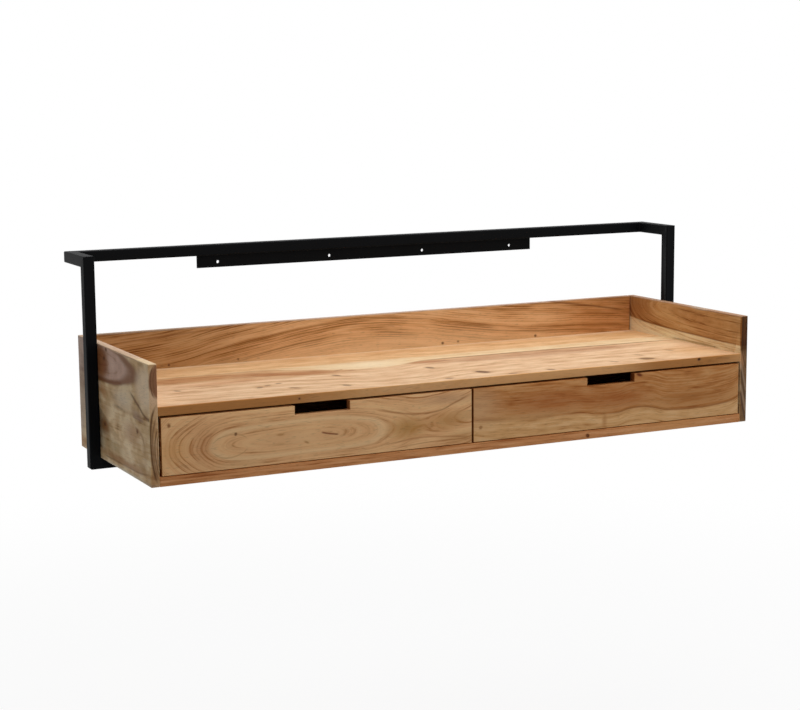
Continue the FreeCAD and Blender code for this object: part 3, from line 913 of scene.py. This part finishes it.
def edit() -> None:
    """Go into edit mode on the active piece."""
    bpy.ops.object.mode_set(mode="EDIT")


def leave() -> None:
    """Go back to object mode."""
    bpy.ops.object.mode_set(mode="OBJECT")


def smooth() -> None:
    """Smooth the rounded faces of the active piece and keep its arrises."""
    bpy.ops.object.shade_smooth_by_angle(angle=SMOOTH_ANGLE)


def only(piece: Piece) -> None:
    """Make a piece the active object and the only selected one.

    Args:
        piece: Object to work on next.
    """
    bpy.ops.object.select_all(action="DESELECT")
    bpy.context.view_layer.objects.active = piece
    piece.select_set(True)


def merge(distance: float) -> None:
    """Merge the points of the active piece that lie together.

    Args:
        distance: Points nearer than this are one.
    """
    edit()
    bpy.ops.mesh.select_all(action="SELECT")
    bpy.ops.mesh.remove_doubles(threshold=distance)
    leave()


def settle() -> None:
    """Put the place and turn of the selected objects into their meshes."""
    bpy.ops.object.transform_apply(location=True, rotation=True, scale=True)


def block(name: str, low: Vector, high: Vector) -> Piece:
    """Add a block between two corners and make it the only selected object.

    Args:
        name: Name of the piece.
        low: Lowest corner.
        high: Highest corner.

    Returns:
        The new object, with its place in its mesh.
    """
    bpy.ops.object.select_all(action="DESELECT")
    bpy.ops.mesh.primitive_cube_add(size=1, location=(low + high) / 2, scale=high - low)
    piece = bpy.context.object
    piece.name = name
    settle()
    return piece


def pick(piece: Piece, kind: Part, test: Callable[..., bool]) -> None:
    """Select the faces or edges that pass a test, and go into edit mode.

    Args:
        piece: Object to work on, which is active.
        kind: What is selected.
        test: Tells of a face or an edge if it is wanted.
    """
    word, parts = kind.value
    edit()
    bpy.ops.mesh.select_mode(type=word)
    bpy.ops.mesh.select_all(action="DESELECT")
    leave()
    for part in getattr(piece.data, parts):
        part.select = test(part)
    edit()


def split(place: float) -> None:
    """Cut the whole active mesh, in edit mode, at a place along X."""
    bpy.ops.mesh.select_all(action="SELECT")
    bpy.ops.mesh.bisect(plane_co=(place, 0, 0), plane_no=(1, 0, 0))


def ease(piece: Piece, width: float) -> None:
    """Round every arris of a piece and smooth the rounding.

    Args:
        piece: Object to work on, which is active.
        width: Width of the rounding.
    """
    rounding = piece.modifiers.new("ease", "BEVEL")
    rounding.width = width
    rounding.segments = 3
    rounding.limit_method = "ANGLE"
    rounding.angle_limit = ARRIS_ANGLE
    rounding.harden_normals = False
    bpy.ops.object.modifier_apply(modifier=rounding.name)
    smooth()


def copy_node(name: str) -> Piece:
    """Copy a model node as one merged mesh and make the copy the only selected object.

    Args:
        name: Name of the node.

    Returns:
        The copy, which is no model node any more.
    """
    piece = bpy.data.objects.new(f"{name}_copy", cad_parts[name].data.copy())
    bpy.context.scene.collection.objects.link(piece)
    only(piece)
    merge(MODEL_MERGE)
    return piece


def shape(piece: Piece, tool: Piece, cut: Cut) -> None:
    """Cut a piece with a tool, clean the cut and remove the tool.

    Args:
        piece: Object to work on.
        tool: Object that cuts it.
        cut: What the tool does.
    """
    only(piece)
    boolean = piece.modifiers.new("shape", "BOOLEAN")
    boolean.operation = cut.value
    boolean.solver = "EXACT"
    boolean.object = tool
    bpy.ops.object.modifier_apply(modifier=boolean.name)
    bpy.data.objects.remove(tool)
    merge(CUT_MERGE)
    edit()
    bpy.ops.mesh.dissolve_degenerate(threshold=CUT_MERGE)
    leave()


def seat(piece: Piece, *nodes: str) -> None:
    """Cut the shapes of model nodes out of a piece, so that they sit in it as in the real board.

    Args:
        piece: Object to work on.
        nodes: Names of the nodes that sit in the piece.
    """
    for name in nodes:
        shape(piece, copy_node(name), Cut.AWAY)


def hand_over(piece: Piece, material: Material, body: str, node: str) -> None:
    """Dress a finished piece and tell the frame what it stands for.

    Args:
        piece: The finished piece.
        material: Its material.
        body: Body that carries it.
        node: Model node that it replaces.
    """
    piece.data.materials.clear()
    piece.data.materials.append(material)
    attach(piece, body)
    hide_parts(node)
    LOG.info("%s stands for %s on %s", piece.name, node, body)


def coat(material: Material, *nodes: str) -> None:
    """Dress model nodes that keep their shape.

    Args:
        material: Material for all of them.
        nodes: Names of the nodes.
    """
    for name in nodes:
        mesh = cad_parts[name].data
        mesh.materials.clear()
        mesh.materials.append(material)
        LOG.info("%s keeps its shape as %s", name, material.name)


# Sub-assemblies

@dataclass
class TubeFrame:
    """Welded frame of square tube, with its feet ground round, its hanger bar and its screws."""

    tubes: tuple[str, ...] = ("top_rail", "left_arm", "right_arm", "hanger_bar")
    feet: tuple[str, ...] = ("left_leg", "right_leg", "bottom_rail")
    foot_radius: float = 4.0 * MM
    screw_count: int = 4
    screw_turn: float = 0.5
    head_height: float = 2.5 * MM
    head_sides: int = 48
    dome: float = 1.6 * MM
    shank_radius: float = 2.0 * MM
    recess: Vector = field(default_factory=lambda: Vector((2.3, 0.55, 1.5)) * MM)
    rounding: int = 6
    body: str = "desk"

    def build(self) -> None:
        """Coat the tubes, round the feet and drive the screws."""
        paint = PowderCoat().material()
        plate = ZincPlate().material()
        coat(paint, *self.tubes)
        coat(PowderCoat("powder_coated_weld_bead_matt_black", ripple=1.6).material(), "corner_welds")
        coat(plate, "leg_screws")
        for node in self.feet:
            self.foot(node, paint)
        self.pan_screws("bottom_rail_screws", plate)

    def foot(self, node: str, paint: Material) -> None:
        """Round the outer corners at the foot of one tube.

        Args:
            node: Model node of the tube.
            paint: Material of the frame.
        """
        low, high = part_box("bottom_rail")
        room = Vector((0, high.y - low.y, 0))
        ceiling = Vector((0, 0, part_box("left_leg")[1].z + room.y - high.z))
        tool = block("foot_envelope", low - room, high + room + ceiling)
        spots = [vertex.co.copy() for vertex in tool.data.vertices]

        def lower_side(edge: bpy.types.MeshEdge) -> bool:
            """Tell if an edge runs from front to back along the underside."""
            first, last = (spots[number] for number in edge.vertices)
            return abs(first.y - last.y) > room.y and max(first.z, last.z) < high.z

        pick(tool, Part.EDGES, lower_side)
        bpy.ops.mesh.bevel(offset=self.foot_radius, segments=self.rounding, affect="EDGES")
        leave()
        piece = copy_node(node)
        piece.name = f"{node}_tube"
        shape(piece, tool, Cut.WITHIN)
        smooth()
        hand_over(piece, paint, self.body, node)

    def pan_screws(self, node: str, plate: Material) -> None:
        """Model one pan-head screw with a cross recess under the rail, and copy it along the rail.

        Args:
            node: Model node of the screws.
            plate: Material of the screws.
        """
        low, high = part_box(node)
        radius = (high.y - low.y) / 2
        start = Vector((low.x + radius, low.y + radius, low.z))
        bpy.ops.object.select_all(action="DESELECT")
        bpy.ops.mesh.primitive_cylinder_add(vertices=self.head_sides, radius=radius, depth=self.head_height,
                                            location=start + Vector((0, 0, self.head_height / 2)))
        screw = bpy.context.object
        screw.name = node.replace("screws", "pan_screws")
        settle()
        pick(screw, Part.FACES, lambda face: face.normal.z < -LEVEL)
        bpy.ops.mesh.bevel(offset=self.dome, segments=self.rounding, affect="EDGES")
        pick(screw, Part.FACES, lambda face: face.normal.z > LEVEL)
        bpy.ops.mesh.inset(thickness=radius - self.shank_radius)
        rise = high.z - low.z - self.head_height
        bpy.ops.mesh.extrude_region_move(TRANSFORM_OT_translate={"value": (0, 0, rise)})
        leave()
        for size in (self.recess, self.recess.yxz):
            shape(screw, block("recess", start - size, start + size), Cut.AWAY)
        smooth()
        pitch = (high.x - low.x - 2 * radius) / (self.screw_count - 1)
        row = [screw]
        for place in range(1, self.screw_count):
            only(screw)
            bpy.ops.object.duplicate()
            spot = start + Vector((pitch * place, 0, 0))
            bpy.ops.transform.translate(value=spot - start)
            bpy.ops.transform.rotate(value=place * self.screw_turn, orient_axis="Z", center_override=spot)
            settle()
            row.append(bpy.context.object)
        for copy in row:
            copy.select_set(True)
        bpy.context.view_layer.objects.active = screw
        bpy.ops.object.join()
        hand_over(screw, plate, self.body, node)


@dataclass
class Tray:
    """Box of solid boards: sides, back, desktop, bottom and divider."""

    arris: float = 1.5 * MM
    fine_arris: float = 1.0 * MM
    back_gap: float = 2.0 * MM
    body: str = "desk"
    slot: str = "acacia"
    runners: dict[str, str] = field(default_factory=lambda: {
        "left": "left_drawer_left_runner", "right": "right_drawer_right_runner",
    })

    def build(self) -> None:
        """Model the boards that show and dress the divider."""
        for word, figure in (("left", LEFT_SIDE), ("right", RIGHT_SIDE)):
            node = f"{word}_side_panel"
            self.board(f"{word}_side_board", node, figure, *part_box(node), self.arris,
                       self.runners[word], "leg_screws")
        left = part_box("left_side_panel")[1].x
        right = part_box("right_side_panel")[0].x
        low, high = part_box("back_panel")
        self.board("back_board", "back_panel", BACK, Vector((left, low.y, low.z)),
                   Vector((right - self.back_gap, high.y, high.z)), self.fine_arris)
        front = low.y
        for name, node, figure in (
            ("desktop_board", "desktop", DESKTOP), ("base_board", "bottom_board", BOTTOM),
        ):
            low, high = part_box(node)
            self.board(name, node, figure, Vector((left, low.y, low.z)), Vector((right, front, high.z)),
                       self.fine_arris, "centre_divider")
        coat(DIVIDER.material(*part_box("centre_divider")), "centre_divider")

    def board(self, name: str, node: str, figure: AcaciaBoard, low: Vector, high: Vector, arris: float,
              *seated: str) -> None:
        """Model one board, with the housings of what sits in it.

        Args:
            name: Name of the piece.
            node: Model node that it replaces.
            figure: Wood of the board.
            low: Lowest corner.
            high: Highest corner.
            arris: Width of the rounding of its arrises.
            seated: Model nodes that sit in it.
        """
        piece = block(name, low, high)
        ease(piece, arris)
        seat(piece, *seated)
        hand_over(piece, figure.material(low, high), self.body, node)


@dataclass
class Drawer:
    """One drawer: notched front, dovetailed box and the two runners that it hangs on."""

    word: str
    figure: AcaciaBoard
    seed: float
    notch_width: float = 103 * MM
    notch_depth: float = 16 * MM
    arris: float = 1.0 * MM

    @property
    def body(self) -> str:
        """Name of the drawer's body."""
        return f"{self.word}_drawer"

    def build(self) -> None:
        """Model the front and dress the boards behind it, each with its own turn of the grain."""
        self.front()
        for part, figure, lay, turn in (
            ("left_side", DRAWER_BOARD, Lay.END_ON, 9.0),
            ("right_side", DRAWER_BOARD, Lay.END_ON, 10.0),
            ("back", DRAWER_BOARD, Lay.UPRIGHT, 4.0),
            ("bottom", PLYWOOD, Lay.FLAT, 0.0),
            ("left_runner", RUNNER, Lay.END_ON, 4.0),
            ("right_runner", RUNNER, Lay.END_ON, 5.0),
        ):
            node = f"{self.body}_{part}"
            wood = replace(figure, name=figure.name.format(node), lay=lay, seed=self.seed + turn)
            coat(wood.material(*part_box(node)), node)

    def front(self) -> None:
        """Model the front board: a plank raised on both sides of the hand notch, with its joints cut in."""
        node = f"{self.body}_front"
        low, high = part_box(node)
        middle = (low.x + high.x) / 2
        ends = (middle - self.notch_width / 2, middle + self.notch_width / 2)
        sill = high.z - self.notch_depth
        piece = block(f"{self.word}_front_board", low, Vector((high.x, high.y, sill)))
        edit()
        for end in ends:
            split(end)
        pick(piece, Part.FACES,
             lambda face: face.normal.z > LEVEL and not ends[0] < face.center.x < ends[1])
        bpy.ops.mesh.extrude_region_move(TRANSFORM_OT_translate={"value": (0, 0, self.notch_depth)})
        leave()
        ease(piece, self.arris)
        seat(piece, *[f"{self.body}_{part}" for part in ("left_side", "right_side", "bottom")])
        hand_over(piece, self.figure.material(low, high), self.body, node)


# Stage

@dataclass
class Stage:
    """Camera, floor and light. The camera's angles are in radians."""

    eye: Place = (-1.5366, -3.1837, 0.3433)
    yaw: float = -0.4626
    pitch: float = -0.1530
    roll: float = -0.0083
    focal_pixels: float = 1824.2
    image_width: float = 800.0
    sensor: float = 36.0
    floor_drop: float = 0.62
    floor_size: float = 30.0
    floor_tone: str = "#F2F2F2"
    shadow: tuple[float, float] = (0.6, 2.4)
    sky: float = 0.22
    top_lamp: float = 54.0
    fill_lamp: float = 8.0

    def build(self) -> None:
        """Set the camera, lay the floor and hang the lamps."""
        self.camera()
        self.floor()
        self.world()
        self.lamp("top_softbox", (0.5, -0.2, 1.9), (0.5, -0.2, -0.2), 2.6, self.top_lamp)
        self.lamp("front_fill", (0.6, -3.4, 0.9), (0.0, -0.2, -0.2), 2.2, self.fill_lamp)
        bpy.context.scene.view_settings.view_transform = "Standard"

    def camera(self) -> None:
        """Place the camera where the photograph was taken."""
        data = bpy.data.cameras.new("photograph_camera")
        data.sensor_width = self.sensor
        data.lens = self.focal_pixels * self.sensor / self.image_width
        camera = bpy.data.objects.new("photograph_camera", data)
        bpy.context.scene.collection.objects.link(camera)
        camera.location = self.eye
        turn = Euler((math.pi / 2 + self.pitch, 0, self.yaw)).to_matrix()
        camera.rotation_euler = (turn @ Matrix.Rotation(self.roll, 3, "Z")).to_euler()
        bpy.context.scene.camera = camera

    def seen(self, sheet: Sheet, level: Input) -> Input:
        """Tell the rays that look at the background from those that light the desk.

        Args:
            sheet: Tree that the nodes go into.
            level: Value for the rays that light the desk.

        Returns:
            Node that gives 1 to rays from the camera, from gloss and through glass.
        """
        path = sheet.add("LightPath").outputs
        for ray in ("Is Camera Ray", "Is Glossy Ray", "Is Transmission Ray"):
            level = sheet.add("Math", {0: path[ray], 1: level}, "MAXIMUM")
        return level

    def floor(self) -> None:
        """Lay a pale floor under the desk at its usual height, white to the camera but with its shadow."""
        bpy.ops.object.select_all(action="DESELECT")
        height = CAD_BOX[0].z - self.floor_drop
        bpy.ops.mesh.primitive_plane_add(size=self.floor_size, location=(0, 0, height))
        floor = bpy.context.object
        floor.name = "pale_floor"
        sheet = Sheet(bpy.data.materials.new("pale_matt_floor"))
        paint = sheet.add("BsdfDiffuse", {"Color": linear(self.floor_tone)})
        glow = sheet.add("Emission", {"Color": WHITE, "Strength": 1.0})
        place = sheet.add("TexCoord").outputs["Object"]
        distance = sheet.add("VectorMath", {0: place}, "LENGTH").outputs["Value"]
        limits = {0: distance, 1: self.shadow[0], 2: self.shadow[1], 3: 0.9, 4: 1.0}
        white = sheet.add("MapRange", limits, "SMOOTHSTEP")
        share = sheet.add("Math", {0: self.seen(sheet, 0.0), 1: white}, "MULTIPLY")
        above = sheet.add("MixShader", {0: share, 1: paint, 2: glow})
        under = sheet.add("NewGeometry").outputs["Backfacing"]
        clear = sheet.add("BsdfTransparent")
        floor.data.materials.append(sheet.close(sheet.add("MixShader", {0: under, 1: above, 2: clear})))

    def world(self) -> None:
        """Give the room a soft grey light that the camera sees as white."""
        sheet = Sheet(bpy.data.worlds.new("studio_room"))
        light = {"Color": WHITE, "Strength": self.seen(sheet, self.sky)}
        bpy.context.scene.world = sheet.close(sheet.add("Background", light))

    def lamp(self, name: str, place: Place, aim: Place, size: float, power: float) -> None:
        """Hang one square soft box.

        Args:
            name: Name of the lamp.
            place: Where it hangs.
            aim: Point that it faces.
            size: Width of the box.
            power: Power in watts.
        """
        data = bpy.data.lights.new(name, "AREA")
        data.size = size
        data.energy = power
        lamp = bpy.data.objects.new(name, data)
        bpy.context.scene.collection.objects.link(lamp)
        lamp.location = place
        lamp.rotation_euler = (Vector(aim) - Vector(place)).to_track_quat("-Z", "Y").to_euler()


def main() -> None:
    """Build the desk's sub-assemblies and the stage."""
    logging.basicConfig(level=logging.INFO)
    TubeFrame().build()
    Tray().build()
    Drawer("left", LEFT_FRONT, 5.0).build()
    Drawer("right", RIGHT_FRONT, 9.0).build()
    Stage().build()


if __name__ == "__main__":
    main()
